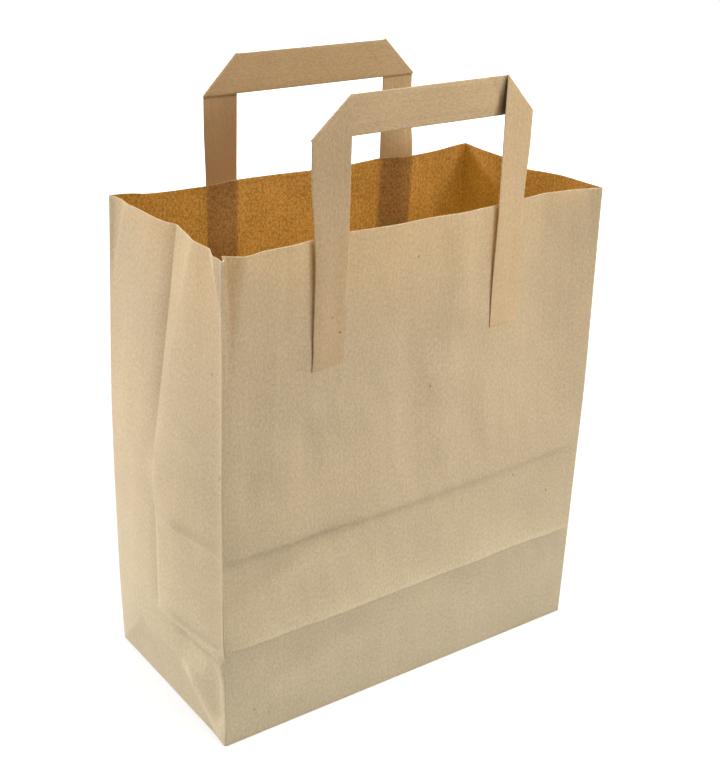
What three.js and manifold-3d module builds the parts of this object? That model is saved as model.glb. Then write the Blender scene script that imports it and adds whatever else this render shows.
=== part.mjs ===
// Paper carrier bag: a brown kraft block-bottom bag that stands open, with a flat folded
// tape handle glued to the outside of the front panel and another on the back panel.
// Millimetres, +Z up. The origin is the middle of the base, +X runs along the wide panels
// and -Y faces out of the front panel.
import * as THREE from "three";
import { mergeVertices } from "three/addons/utils/BufferGeometryUtils.js";
import Module from "manifold-3d";

// Bag sheet
const BAG_WIDTH = 220;
const GUSSET_DEPTH = 110;
const BAG_HEIGHT = 250;
const PAPER = 0.2;
const STOW_CREASE_DROP = 5; // the folded-up base pressed its edge in this far below its own depth
const CREASE_RIDGE = 1.2; // how far the panels stand out at the base fold
const STOW_RIDGE = 0.6;
const RIDGE_REACH = 24; // height over which a ridge dies away
const BOTTOM_OVERLAP = 24; // the two long bottom flaps lap by this much
const END_FLAP_LENGTH = 67; // how far each end flap reaches in over the floor
const SEAM_INSET = 13; // from the back panel's edge to the cut edge of the glued lap seam
const SEAM_CUT = 0.1; // the cut edge drops to the ply below within this run
const SEAM_LAP = 12;
const SEAM_BLEND = 8;

// The opened gussets: each swells below and keeps its centre fold as a valley above.
const GUSSET_BELLY = 5.5;
const BELLY_TOP = 138; // height where the swelling starts to die away towards the mouth
const VALLEY_DEPTH = 8.3;
const VALLEY_START = 120;
const VALLEY_FLANK = 2.8; // share of the valley that runs the full width of the gusset
const VALLEY_HALF_WIDTH = 17;
const EDGE_SWELL = 1.5; // how far each upright fold stands out sideways at mid height

// The mouth: how far each corner has moved out of the true rectangle, as [x, y]
const MOUTH_SHIFT = {
  frontLeft: [-1, -0.7],
  frontRight: [1.2, 2],
  backRight: [-3.1, -4.6],
  backLeft: [1.6, -0.6],
};
const MOUTH_SHIFT_START = 120; // height where the corners start to move
const BOW_START = 105; // height where the wide panels start to bow inwards
const BOW_FULL = 200;
// Inward bow of each wide panel at the mouth, as [share of the half width, depth]
const FRONT_BOW = [
  [-1, 0], [-0.95, 4], [-0.78, 3.6], [-0.57, 5], [-0.39, 5.2], [-0.14, 3.7],
  [0.3, 4.6], [0.41, 3.9], [0.58, 6], [0.71, 7.2], [0.85, 5.4], [1, 0],
];
const BACK_BOW = [
  [-1, 0], [-0.82, 6.6], [-0.57, 8], [-0.38, 5], [0, 7.5],
  [0.2, 8], [0.41, 4.6], [0.57, 8], [0.76, 6.4], [1, 0],
];

// Handles
const TAPE_WIDTH = 19;
const TAPE_THICKNESS = 0.6;
const TAPE_PLY_GAP = 0.25; // between the two layers where the tape is folded over a corner
const HANDLE_SPAN = 125; // over the outer edges of the two legs
const HANDLE_RISE = 62; // from the mouth to the top of the handle
const LEG_GLUED_LENGTH = 62;
const GLUE_GAP = 0.3;

// Mesh steps
const FOLD_ROWS = 5;
const STOW_ROWS = 2;
const BEND_STEPS = 6;
const LEG_STEPS = 4;
const BAR_STEPS = 8;
const CORNER_SHARE = 0.95; // share of the half width where the columns nearest a corner stand
const MIDDLE_SHARE = 0.4; // share of a leg's inner edge where the columns between the legs stand

const halfWidth = BAG_WIDTH / 2;
const halfDepth = GUSSET_DEPTH / 2;
const foldHeight = halfDepth; // the 45 degree bottom creases meet the centre fold here
const stowHeight = GUSSET_DEPTH - STOW_CREASE_DROP;
const seamX = halfWidth - SEAM_INSET;
const seamRoot = seamX - SEAM_LAP;
const floorUnder = 2 * PAPER; // the outer bottom flaps lie below the floor ply
const floorTop = 3 * PAPER;
const legBottom = BAG_HEIGHT - LEG_GLUED_LENGTH;
const legOuter = HANDLE_SPAN / 2;
const legInner = legOuter - TAPE_WIDTH;
const barTop = BAG_HEIGHT + HANDLE_RISE;
const barBottom = barTop - TAPE_WIDTH;

const wasm = await Module();
wasm.setup();

const clamp01 = (t) => Math.min(1, Math.max(0, t));
const rise = (t, from, to) => clamp01((t - from) / (to - from));
const smooth = (t, from, to) => THREE.MathUtils.smoothstep(t, from, to);
const lerp = THREE.MathUtils.lerp;

// Depth of a bow at share u of the half width, by straight runs between its points
function bowDepth(points, u) {
  const next = Math.max(1, points.findIndex(([at]) => u <= at));
  const [u0, d0] = points[next - 1];
  const [u1, d1] = points[next];
  return lerp(d0, d1, rise(u, u0, u1));
}

const inOrder = (values) => [...new Set(values)].sort((a, b) => a - b);
const tent = (z, peak) => clamp01(1 - Math.abs(z - peak) / RIDGE_REACH);
const ridges = (z) => CREASE_RIDGE * tent(z, foldHeight) + STOW_RIDGE * tent(z, stowHeight);

// How far a wide panel stands out of its straight plane, at share u of the half width
function panelOut(points, u, z) {
  const away = 1 - u ** 4; // the vertical folds hold the panel's edges straight
  return ridges(z) * away - bowDepth(points, u) * smooth(z, BOW_START, BOW_FULL);
}

// How far a gusset stands out, at share u of the half depth on either side of its centre fold
function gussetOut(u, z) {
  const across = Math.abs(u);
  if (z < foldHeight) {
    const up = z / foldHeight;
    const past = up > 0 ? clamp01((across - (1 - up)) / up) : 0;
    return GUSSET_BELLY * up * (1 - past ** 3);
  }
  const belly = GUSSET_BELLY * (1 - rise(z, BELLY_TOP, BAG_HEIGHT)) * (1 - across ** 3);
  const vee = clamp01(1 - (across * halfDepth) / VALLEY_HALF_WIDTH);
  const flank = VALLEY_FLANK * (1 - across ** 6);
  const valley = (VALLEY_DEPTH - VALLEY_FLANK) * vee + flank;
  return belly - valley * rise(z, VALLEY_START, BAG_HEIGHT);
}

// The lap seam: the outer ply stands one paper proud and ends in a cut edge.
function seamOut(x) {
  return x > seamX ? 0 : PAPER * smooth(x, seamRoot - SEAM_BLEND, seamRoot);
}

function corner(name, signX, signY, z) {
  const moved = smooth(z, MOUTH_SHIFT_START, BAG_HEIGHT);
  const [dx, dy] = MOUTH_SHIFT[name];
  const swell = EDGE_SWELL * Math.sin((Math.PI * z) / BAG_HEIGHT);
  return [signX * (halfWidth + swell) + dx * moved, signY * halfDepth + dy * moved];
}

// A point on the outside of a wide panel; side is -1 at the front and 1 at the back
function panelPoint(side, x, z) {
  const left = side < 0 ? corner("frontLeft", -1, -1, z) : corner("backLeft", -1, 1, z);
  const right = side < 0 ? corner("frontRight", 1, -1, z) : corner("backRight", 1, 1, z);
  const across = (x + halfWidth) / BAG_WIDTH;
  const seam = side > 0 ? seamOut(x) : 0;
  const out = panelOut(side < 0 ? FRONT_BOW : BACK_BOW, x / halfWidth, z) + seam;
  return [lerp(left[0], right[0], across), lerp(left[1], right[1], across) + side * out];
}

// A point on the outside of a gusset; side is -1 at the left and 1 at the right
function gussetPoint(side, y, z) {
  const front = side < 0 ? corner("frontLeft", -1, -1, z) : corner("frontRight", 1, -1, z);
  const back = side < 0 ? corner("backLeft", -1, 1, z) : corner("backRight", 1, 1, z);
  const across = (y + halfDepth) / GUSSET_DEPTH;
  const out = gussetOut(y / halfDepth, z);
  return [lerp(front[0], back[0], across) + side * out, lerp(front[1], back[1], across)];
}

// The columns of the tube, counter-clockwise from the front left corner. Each gives its outside
// point at a height, and the direction to the inside of the paper.
function tubeColumns() {
  const half = [
    halfWidth * CORNER_SHARE, (legOuter + halfWidth) / 2, legOuter, legInner, legInner * MIDDLE_SHARE,
  ];
  const frontX = inOrder([...half, 0, ...half.map((x) => -x)]);
  const seam = [seamX + SEAM_CUT, seamX, seamRoot, seamRoot - SEAM_BLEND];
  const backX = inOrder([...frontX, ...seam]).reverse();
  const gussetY = [];
  for (let i = 1; i < 2 * FOLD_ROWS; i++) gussetY.push(halfDepth * (i / FOLD_ROWS - 1));
  const panel = (side) => (x) => ({ at: (z) => panelPoint(side, x, z), inward: [0, -side] });
  const gusset = (side) => (y) => ({ at: (z) => gussetPoint(side, y, z), inward: [-side, 0] });
  const edge = (name, signX, signY) => ({
    at: (z) => corner(name, signX, signY, z),
    inward: [-signX, -signY],
  });
  return [
    edge("frontLeft", -1, -1),
    ...frontX.map(panel(-1)),
    edge("frontRight", 1, -1),
    ...gussetY.map(gusset(1)),
    edge("backRight", 1, 1),
    ...backX.map(panel(1)),
    edge("backLeft", -1, 1),
    ...gussetY.toReversed().map(gusset(-1)),
  ];
}

// The heights of the tube's rows above its lower edge
function tubeHeights() {
  const heights = [VALLEY_START, BELLY_TOP, (BELLY_TOP + legBottom) / 2];
  for (let i = 1; i <= FOLD_ROWS; i++) heights.push((foldHeight * i) / FOLD_ROWS);
  for (let i = 1; i <= STOW_ROWS; i++) heights.push(lerp(foldHeight, stowHeight, i / STOW_ROWS));
  for (let i = 0; i <= LEG_STEPS; i++) heights.push(legBottom + (LEG_GLUED_LENGTH * i) / LEG_STEPS);
  return inOrder(heights);
}

function meshGeometry(points, triangles) {
  const geometry = new THREE.BufferGeometry();
  geometry.setAttribute("position", new THREE.Float32BufferAttribute(points.flat(), 3));
  geometry.setIndex(triangles.flat());
  return geometry;
}

// The open tube of paper with its floor ply, as one closed skin
function tubeGeometry() {
  const columns = tubeColumns();
  const count = columns.length;
  const heights = tubeHeights();
  const outerHeights = [floorUnder, ...heights];
  const innerHeights = [floorTop, ...heights];
  const points = [];
  for (const z of outerHeights) for (const c of columns) points.push([...c.at(z), z]);
  const innerStart = points.length;
  for (const z of innerHeights) {
    for (const c of columns) {
      const [x, y] = c.at(z);
      points.push([x + c.inward[0] * PAPER, y + c.inward[1] * PAPER, z]);
    }
  }
  const triangles = [];
  const rows = outerHeights.length;
  const gussetStarts = [columns.findIndex((c) => c.inward[0] === -1 && c.inward[1] === 1)];
  gussetStarts.push(columns.findIndex((c) => c.inward[0] === 1 && c.inward[1] === -1));
  // On a gusset each quad below the base fold is split along the crease that runs up to its middle.
  const risesToMiddle = (i) => {
    const start = gussetStarts.find((s) => i >= s && i < s + 2 * FOLD_ROWS);
    return start === undefined || i - start < FOLD_ROWS;
  };
  for (let row = 0; row + 1 < rows; row++) {
    for (let i = 0; i < count; i++) {
      const j = (i + 1) % count;
      const [a, b] = [row * count + i, row * count + j];
      const [c, d] = [b + count, a + count];
      const faces = risesToMiddle(i) ? [[a, b, c], [a, c, d]] : [[a, b, d], [b, c, d]];
      triangles.push(...faces);
      triangles.push(...faces.map((f) => f.map((k) => k + innerStart).reverse()));
    }
  }
  const top = (rows - 1) * count;
  for (let i = 0; i < count; i++) {
    const j = (i + 1) % count;
    const [a, b] = [top + i, top + j];
    const [c, d] = [b + innerStart, a + innerStart];
    triangles.push([a, b, c], [a, c, d]);
  }
  const underMiddle = points.push([0, 0, floorUnder]) - 1;
  const topMiddle = points.push([0, 0, floorTop]) - 1;
  for (let i = 0; i < count; i++) {
    const j = (i + 1) % count;
    triangles.push([underMiddle, j, i], [topMiddle, innerStart + i, innerStart + j]);
  }
  return meshGeometry(points, triangles);
}

// A flat flap of one ply between two heights, from its outline of [x, y] points
function flapGeometry(outline, from, to) {
  const shape = new THREE.Shape(outline.map(([x, y]) => new THREE.Vector2(x, y)));
  const geometry = new THREE.ExtrudeGeometry(shape, { depth: to - from, bevelEnabled: false });
  return geometry.translate(0, 0, from);
}

// A long bottom flap: a trapezoid from one long edge of the base to past the middle
function longFlap(side, from, to) {
  const reach = halfDepth + BOTTOM_OVERLAP / 2;
  const tip = halfWidth - halfDepth; // the 45 degree creases stop at the middle of the base
  const far = side * (halfDepth - reach);
  const edge = side * halfDepth;
  const outline = [
    [-halfWidth, edge], [halfWidth, edge], [tip, 0], [tip, far], [-tip, far], [-tip, 0],
  ];
  return flapGeometry(outline, from, to);
}

// An end flap inside the bag, from one gusset in over the floor
function endFlap(side) {
  const edge = side * (halfWidth - PAPER / 2);
  const tip = side * (halfWidth - END_FLAP_LENGTH);
  const y = halfDepth - PAPER / 2;
  const outline = [[edge, -y], [tip, -y], [tip, y], [edge, y]];
  return flapGeometry(outline, floorTop - PAPER / 2, floorTop + PAPER);
}

function solidFrom(geometry) {
  const bare = geometry.clone();
  bare.deleteAttribute("normal");
  bare.deleteAttribute("uv");
  const merged = mergeVertices(bare, 1e-4);
  return new wasm.Manifold(
    new wasm.Mesh({
      numProp: 3,
      vertProperties: merged.attributes.position.array,
      triVerts: new Uint32Array(merged.index.array),
    }),
  );
}

function geometryFrom(solid) {
  const { vertProperties, triVerts } = solid.getMesh();
  const geometry = new THREE.BufferGeometry();
  geometry.setAttribute("position", new THREE.BufferAttribute(vertProperties, 3));
  geometry.setIndex(new THREE.BufferAttribute(triVerts, 1));
  return geometry;
}

function bagGeometry() {
  const plies = [
    longFlap(-1, PAPER, floorUnder + PAPER / 2),
    longFlap(1, 0, floorUnder + PAPER / 2),
    endFlap(-1),
    endFlap(1),
  ];
  const whole = plies.reduce((sum, ply) => sum.add(solidFrom(ply)), solidFrom(tubeGeometry()));
  return geometryFrom(whole);
}

// A strip of tape through stations, each with its outer edge a, its inner edge b and the
// direction n that its face looks in
function tapeGeometry(stations, turned) {
  const points = [];
  for (const { a, b, n } of stations) {
    const half = n.clone().multiplyScalar(TAPE_THICKNESS / 2);
    points.push(a.clone().add(half).toArray(), b.clone().add(half).toArray());
    points.push(b.clone().sub(half).toArray(), a.clone().sub(half).toArray());
  }
  const triangles = [];
  for (let s = 0; s + 1 < stations.length; s++) {
    for (let k = 0; k < 4; k++) {
      const [p, q] = [4 * s + k, 4 * s + ((k + 1) % 4)];
      triangles.push([p, q, q + 4], [p, q + 4, p + 4]);
    }
  }
  const end = 4 * (stations.length - 1);
  triangles.push([0, 2, 1], [0, 3, 2], [end, end + 1, end + 2], [end, end + 2, end + 3]);
  return meshGeometry(points, turned ? triangles.map((t) => t.toReversed()) : triangles);
}

// One handle; side is -1 at the front and 1 at the back. The legs lie on the outside of the
// panel, and the tape turns back over each top corner to run along the inner side of them.
function handleGeometry(side) {
  const outward = new THREE.Vector3(0, side, 0);
  const stand = GLUE_GAP + TAPE_THICKNESS / 2;
  const bend = (TAPE_THICKNESS + TAPE_PLY_GAP) / 2;
  const onPanel = (x, z) => {
    const [px, py] = panelPoint(side, x, Math.min(z, BAG_HEIGHT));
    return new THREE.Vector3(px, py + side * stand, z);
  };
  const rimY = [-legOuter, -legInner, legInner, legOuter].map((x) => onPanel(x, BAG_HEIGHT).y);
  const planeY = rimY.reduce((sum, y) => sum + y, 0) / rimY.length;
  // Above the mouth the leg's edge runs from the panel into the flat plane of the handle.
  const legEdge = (x, z, top) => {
    const at = onPanel(x, z);
    const free = rise(z, BAG_HEIGHT, top);
    return new THREE.Vector3(lerp(at.x, x, free), lerp(at.y, planeY, free), z);
  };
  const legStations = (hand) => {
    const [outer, inner] = [hand * legOuter, hand * legInner];
    // The glued leg has the panel's own rows, so the two run in step.
    const rows = tubeHeights().filter((z) => z >= legBottom);
    const stations = rows.map((z) => ({ a: onPanel(outer, z), b: onPanel(inner, z), n: outward }));
    for (let i = 1; i <= LEG_STEPS; i++) {
      const a = legEdge(outer, lerp(BAG_HEIGHT, barBottom, i / LEG_STEPS), barBottom);
      const b = legEdge(inner, lerp(BAG_HEIGHT, barTop, i / LEG_STEPS), barTop);
      stations.push({ a, b, n: outward });
    }
    return stations;
  };
  // The half turn over a top corner, from the leg round to the bar
  const cornerStations = (hand) => {
    const away = new THREE.Vector3(hand, 0, 1).normalize();
    const stations = [];
    for (let i = 1; i < BEND_STEPS; i++) {
      const turn = (Math.PI * i) / BEND_STEPS;
      const n = outward.clone().multiplyScalar(Math.cos(turn)).addScaledVector(away, Math.sin(turn));
      const move = away.clone().multiplyScalar(bend * Math.sin(turn));
      move.addScaledVector(outward, bend * (Math.cos(turn) - 1));
      const a = new THREE.Vector3(hand * legOuter, planeY, barBottom).add(move);
      const b = new THREE.Vector3(hand * legInner, planeY, barTop).add(move);
      stations.push({ a, b, n });
    }
    return stations;
  };
  const barStations = [];
  const inward = outward.clone().negate();
  const barY = planeY - side * 2 * bend;
  for (let i = 0; i <= BAR_STEPS; i++) {
    const along = (2 * i) / BAR_STEPS - 1;
    const a = new THREE.Vector3(along * legOuter, barY, barBottom);
    const b = new THREE.Vector3(along * legInner, barY, barTop);
    barStations.push({ a, b, n: inward });
  }
  const stations = [
    ...legStations(-1),
    ...cornerStations(-1),
    ...barStations,
    ...cornerStations(1).reverse(),
    ...legStations(1).reverse(),
  ];
  return tapeGeometry(stations, side > 0);
}

function material(color, roughness) {
  return new THREE.MeshStandardMaterial({ color, roughness, metalness: 0 });
}

function named(name, geometry, paint) {
  geometry.computeVertexNormals();
  const mesh = new THREE.Mesh(geometry, paint);
  mesh.name = name;
  return mesh;
}

const kraft = material(0xc8ac84, 0.9);
const tapeKraft = material(0xb4956a, 0.88);
const bag = new THREE.Group();
bag.add(named("bag_body", bagGeometry(), kraft));
bag.add(named("front_handle", handleGeometry(-1), tapeKraft));
bag.add(named("back_handle", handleGeometry(1), tapeKraft));

export default bag;
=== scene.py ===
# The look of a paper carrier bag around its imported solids: one folded kraft sheet and two
# handles of folded tape, on a white ground. Sizes are in millimetres, in the solids' frame,
# and each mesh is turned into metres as it is made.
import math

import bpy
import numpy as np
from mathutils import Matrix, Vector


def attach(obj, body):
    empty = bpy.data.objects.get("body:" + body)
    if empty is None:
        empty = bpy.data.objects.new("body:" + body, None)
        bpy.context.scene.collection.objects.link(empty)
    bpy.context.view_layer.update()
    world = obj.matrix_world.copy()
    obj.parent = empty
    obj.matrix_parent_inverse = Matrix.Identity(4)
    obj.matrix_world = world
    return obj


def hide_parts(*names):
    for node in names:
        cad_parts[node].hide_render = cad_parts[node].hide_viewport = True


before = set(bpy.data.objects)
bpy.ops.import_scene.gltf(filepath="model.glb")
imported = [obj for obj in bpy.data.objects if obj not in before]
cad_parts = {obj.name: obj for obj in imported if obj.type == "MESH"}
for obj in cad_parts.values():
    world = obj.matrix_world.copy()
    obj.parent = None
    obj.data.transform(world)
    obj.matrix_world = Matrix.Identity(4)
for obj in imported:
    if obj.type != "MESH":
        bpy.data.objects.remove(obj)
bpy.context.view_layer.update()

MM = 0.001

# Bag sheet
BAG_WIDTH = 220
GUSSET_DEPTH = 110
BAG_HEIGHT = 250
PAPER = 0.2
HALF_W = BAG_WIDTH / 2
HALF_D = GUSSET_DEPTH / 2
FOLD_HEIGHT = HALF_D
STOW_HEIGHT = 105
STOW_BACK = STOW_HEIGHT + 1
FOLD_RADIUS = 0.5
FLOOR_UNDER = 2 * PAPER
FLOOR_TOP = 3 * PAPER
BOTTOM_OVERLAP = 24
END_FLAP_LENGTH = 67
SEAM_X = 97
SEAM_LAP = 12
SEAM_BLEND = 8
SEAM_CUT = 0.15

# Handles
TAPE_WIDTH = 19
TAPE_THICKNESS = 0.6
TAPE_PLY_GAP = 0.25
LEG_OUTER = 62.5
LEG_INNER = LEG_OUTER - TAPE_WIDTH
LEG_BOTTOM = 188
BAR_TOP = 312
BAR_BOTTOM = BAR_TOP - TAPE_WIDTH
FOOT_PLUMPNESS = 0.3

# How softly the lines through measured points bend: upright folds, creases, walls and rim
CORNER_BLUR = 14
CREASE_BLUR = 8
BOW_BLUR = 12
GUSSET_BLUR = 6
RIM_BLUR = 0.8

# Where each upright fold runs, as (height, x) and (height, y)
FOLD_TRACKS = {
    "front_left": (
        [(0, -110), (29, -110.6), (69, -111.4), (118, -111.6), (178, -111.2), (250, -111)],
        [(0, -55), (150, -55), (250, -55.7)],
    ),
    "front_right": (
        [(0, 110), (34, 110.4), (80, 110.8), (140, 111.5), (185, 111.2), (250, 111.2)],
        [(0, -55), (150, -55), (250, -53)],
    ),
    "back_right": (
        [(0, 110), (60, 111), (130, 111.6), (190, 110), (250, 106.9)],
        [(0, 55), (130, 55), (250, 50.3)],
    ),
    "back_left": (
        [(0, -110), (35, -111.5), (104, -111.9), (150, -111.6), (235, -108.9), (250, -108.4)],
        [(0, 55), (150, 55), (250, 54.4)],
    ),
}

# The mouth seen from above: how far each wall lies inside the line between its two corners
FRONT_MOUTH = [
    (-110, 0), (-98.4, 1.0), (-86.7, 3.6), (-71.5, 3.2), (-63.5, 5.8), (-42, 6.6),
    (-14.7, 4.2), (33.7, 4.8), (45.2, 4.4), (65.3, 6.3), (78.1, 7.9), (93.1, 5.8), (104.7, 2.5),
    (110, 0),
]
BACK_MOUTH = [
    (-110, 0), (-100, 1.8), (-94.6, 5.6), (-89.8, 7), (-61.8, 8.6), (-41.3, 4.8), (-1.1, 7.4),
    (23.2, 8.3), (33.8, 6.5), (45.7, 4.3), (60.3, 8), (71, 7.6), (83.4, 6.2), (106, 0.3), (110, 0),
]
LEFT_MOUTH = [
    (-55, 0), (-51, 1.2), (-46, 0.6), (-37, 4.4), (-28, 3.6), (-14.6, 3.2), (-2, 2.4), (8.2, 2.6),
    (23.3, 2.6), (38.8, 1.8), (45, 2.6), (50.8, 1.9), (55, 0),
]
RIGHT_MOUTH = [
    (-55, 0), (-34, 0.6), (-17, 2.4), (-8, 4.4), (0, 4.0), (18.5, 2.2), (38, 1.6), (50, 0.6),
    (55, 0),
]

# Swelling of the gussets
BELLY = 5.2
BELLY_TOP = 138
FOLD_RISE = [(0, 0), (0.22, 0.2), (0.36, 0.42), (0.58, 0.76), (1, 1)]

# Creases left by the flat-folded base: heights of the lines on the front panel
BASE_FOLD = [(-110, 55.5), (-60, 55.8), (0, 56.6), (66, 58), (90, 57.6), (110, 56.6)]
BASE_FOLD_SIDE = 52.4
STOW_LINE = [(-110, 103.4), (-40, 103.3), (0, 103.9), (60, 105.6), (110, 107.4)]
STOW_SIDE = 105.6


def smooth(t, start, end):
    s = np.clip((t - start) / (end - start), 0, 1)
    return s * s * (3 - 2 * s)


def rise(t, start, end):
    return np.clip((t - start) / (end - start), 0, 1)


# Offsets and weights of a blur, the weights adding up to 16
BLUR_TAPS = ((-1.5, 1), (-0.75, 4), (0, 6), (0.75, 4), (1.5, 1))


def through(points, t, blur=0.0):
    """The line through the points, at t, with its corners rounded over the blur."""
    xs, ys = zip(*points)
    if not blur:
        return np.interp(t, xs, ys)
    return sum(w * np.interp(t + k * blur, xs, ys) for k, w in BLUR_TAPS) / 16


def polyline_distance(p, q, line):
    """How far the points (p, q) lie from a polyline, and the share of its length to there."""
    best = np.full(np.broadcast(p, q).shape, 1e9)
    along = np.zeros(best.shape)
    total = sum(math.dist(a, b) for a, b in zip(line, line[1:]))
    done = 0.0
    for (p0, q0), (p1, q1) in zip(line, line[1:]):
        dp, dq = p1 - p0, q1 - q0
        length = math.hypot(dp, dq)
        t = np.clip(((p - p0) * dp + (q - q0) * dq) / length**2, 0, 1)
        d = np.hypot(p - p0 - t * dp, q - q0 - t * dq)
        closer = d < best
        best = np.where(closer, d, best)
        along = np.where(closer, (done + t * length) / total, along)
        done += length
    return best, along


def crest(d, width, round_off=0.4):
    """The shape across a crease: 1 on the line and dying away on both sides."""
    return np.exp(-(np.sqrt(d * d + round_off**2) - round_off) / width)


def ridge(p, q, line, height, width, fade=0.15):
    """A raised crease along a polyline, which dies away at both of its ends."""
    d, along = polyline_distance(p, q, line)
    ends = smooth(along, 0, fade) * smooth(1 - along, 0, fade)
    return height * crest(d, width) * ends


def swelling(p, q, line, height, width, fade=0.3):
    """A soft raised band along a polyline."""
    d, along = polyline_distance(p, q, line)
    ends = smooth(along, 0, fade) * smooth(1 - along, 0, fade)
    return height * np.exp(-((d / width) ** 2)) * ends


def corner(name, z):
    xs, ys = FOLD_TRACKS[name]
    return through(xs, z, CORNER_BLUR), through(ys, z, CORNER_BLUR)


def fold_line(x):
    return through(BASE_FOLD, x, CREASE_BLUR)


def stow_line(x):
    return through(STOW_LINE, x, CREASE_BLUR)


# Height of the base fold over the panel, the part of it that falls off evenly to the ground,
# and how closely the rest dies away above and below
RIDGE_HEIGHT = 3.0
RIDGE_LIP = 1.4
RIDGE_ABOVE = 11
RIDGE_BELOW = 7


def base_ridge(z, fold):
    """The base fold of a wide panel: a proud line, with a narrow furrow just under it."""
    d = z - fold
    above = RIDGE_HEIGHT * np.exp(-np.maximum(d, 0) / RIDGE_ABOVE)
    below = (RIDGE_HEIGHT - RIDGE_LIP) * np.exp(np.minimum(d, 0) / RIDGE_BELOW)
    below = below + RIDGE_LIP * np.clip(z / fold, 0, 1)
    furrow = 0.22 * np.exp(-(((d + 1.2) / 1.1) ** 2))
    return np.where(d > 0, above, below) - furrow


def ground_tuck(z):
    """How far the paper turns in where it meets the ground."""
    return 0.22 * np.exp(-z / 2.5)


# The step at the stow line: from how far under the line to how far over it the paper comes
# out, and the height over which it then dies away
STOW_RISE = (-3.4, 2.8)
STOW_FADE = 80


def stow_step(z, stow):
    """Where the folded-up base ended: the paper comes out over a few millimetres."""
    d = z - stow
    return smooth(d, *STOW_RISE) * np.exp(-np.maximum(d - STOW_RISE[1], 0) / STOW_FADE)


def side_crease(z, line):
    """A crease of a gusset: a narrow furrow, with the paper coming out above it."""
    d = z - line
    out = smooth(d, 0, 8) * np.exp(-np.maximum(d - 8, 0) / 20)
    return out - 0.4 * np.where(d < 0, np.exp(np.minimum(d, 0) / 3.2), 1 - smooth(d, 0, 6))


# Between which heights a wide panel's bow grows: its broad form, and the close shape of the rim
BROAD_BOW = (100, 215)
RIM_BOW = (190, BAG_HEIGHT)


def bow(table, s, z):
    """How far a wide panel falls in towards its mouth: broadly, and closely near the rim."""
    free = 1 - np.exp(-(HALF_W - np.abs(s)) / BOW_BLUR)
    broad = through(table, s, BOW_BLUR) * free
    near = through(table, s, RIM_BLUR) - broad
    return broad * smooth(z, *BROAD_BOW) + near * smooth(z, *RIM_BOW)


# Ripples: the length and height of each pair of waves, their lean from upright in radians, how
# far they sway and over which height, and the seed of each wall
RIPPLES = ((70, 0.35), (38, 0.22), (21, 0.11), (13, 0.06))
RIPPLE_LEAN = 0.28
RIPPLE_SWAY = 1.2
SWAY_HEIGHT = 47
SEEDS = {"front": 3, "back": 5, "left": 11, "right": 17}


def ripple(wall, s, z):
    """Slow unevenness of a hand-opened sheet, mostly in upright bands."""
    rng = np.random.default_rng(SEEDS[wall])
    total = 0.0
    for wave, size in RIPPLES:
        for _ in range(2):
            angle = rng.normal(0, RIPPLE_LEAN)
            phase = rng.uniform(0, 2 * math.pi)
            slow = rng.uniform(0, 2 * math.pi)
            across = (s * math.cos(angle) + z * math.sin(angle)) * 2 * math.pi / wave
            sway = RIPPLE_SWAY * np.sin(z / SWAY_HEIGHT + slow)
            total = total + size * np.sin(across + phase + sway)
    return total


# A dent beside the front left corner, under the mouth: how far it reaches by height, where it
# is deepest, its slope, and how it runs out towards the corner
DENT_EDGE = [
    (176, -107), (190, -105.8), (205, -104.4), (215, -102.8), (228, -100.6), (240, -98.6),
    (250, -97.4),
]
DENT_ROOT = -105.8
DENT_SLOPE = 0.78
DENT_NEAR = [(-HALF_W, 0), (-107.2, 0.35), (DENT_ROOT, 1)]


def corner_dent(x, z):
    edge = through(DENT_EDGE, z, 3)
    deepest = DENT_SLOPE * np.maximum(edge - DENT_ROOT, 0)
    side = np.clip((edge - x) / np.maximum(edge - DENT_ROOT, 0.1), 0, 1)
    back_up = through(DENT_NEAR, x)
    return deepest * side * np.where(x < DENT_ROOT, back_up, 1)


# Small wrinkles of the front panel: line, height and width, a negative height being a furrow
FRONT_WRINKLES = [
    ([(-45, 188), (-44.5, 185), (-43.2, 178.3), (-47.5, 173), (-48.1, 164)], 0.55, 1.3),
    ([(67, 57.8), (74, 59.4), (80, 60), (92, 59.6), (110, 58)], -0.3, 1.2),
    ([(84, 52), (90, 57.5), (98, 60)], 0.25, 1.4),
    ([(-110, 103), (-104, 99), (-98, 94)], -0.3, 1.6),
    ([(-46.2, 252), (-46, 225), (-45.5, 192)], 0.3, 1.2),
]

# Soft bands of the front panel, in the same way, a negative height being a hollow
FRONT_SWELLS = [
    ([(-118, 60), (-100, 74), (-84, 87), (-55, 98), (-30, 101)], -2.0, 9),
    ([(16, 225), (14, 170), (15, 120), (18, 108)], 1.6, 11),
    ([(-8, 215), (-5, 165), (-8, 118)], -1.0, 7),
    ([(-66, 170), (-64, 145), (-66, 118)], -1.0, 7),
    ([(44, 172), (40, 150), (44, 116)], 0.8, 6),
    ([(-59, 262), (-59, 215), (-61, 175)], 2.3, 8),
    ([(21, 262), (22, 225), (26, 185)], 2.1, 9),
    ([(-93, 225), (-94, 165), (-98, 112)], -1.7, 9),
    ([(-40, 258), (-39, 230), (-41, 208)], -0.45, 4),
    ([(-74, 258), (-73, 236), (-76, 206)], -0.55, 5),
    ([(66, 262), (64, 235), (60, 196)], 0.3, 6),
    ([(-95, 20), (-60, 34), (-20, 48)], -0.9, 8),
]

# Height of the step at the stow line along the front panel
FRONT_STEP = [(-90, 1.35), (20, 1.0), (90, 0.75)]


def held_panel(x):
    """1 over a wide panel, and 0 at its upright folds, which hold the paper in place."""
    return 1 - np.abs(x / HALF_W) ** 14


def held_gusset(y):
    return 1 - (y / HALF_D) ** 8


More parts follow.
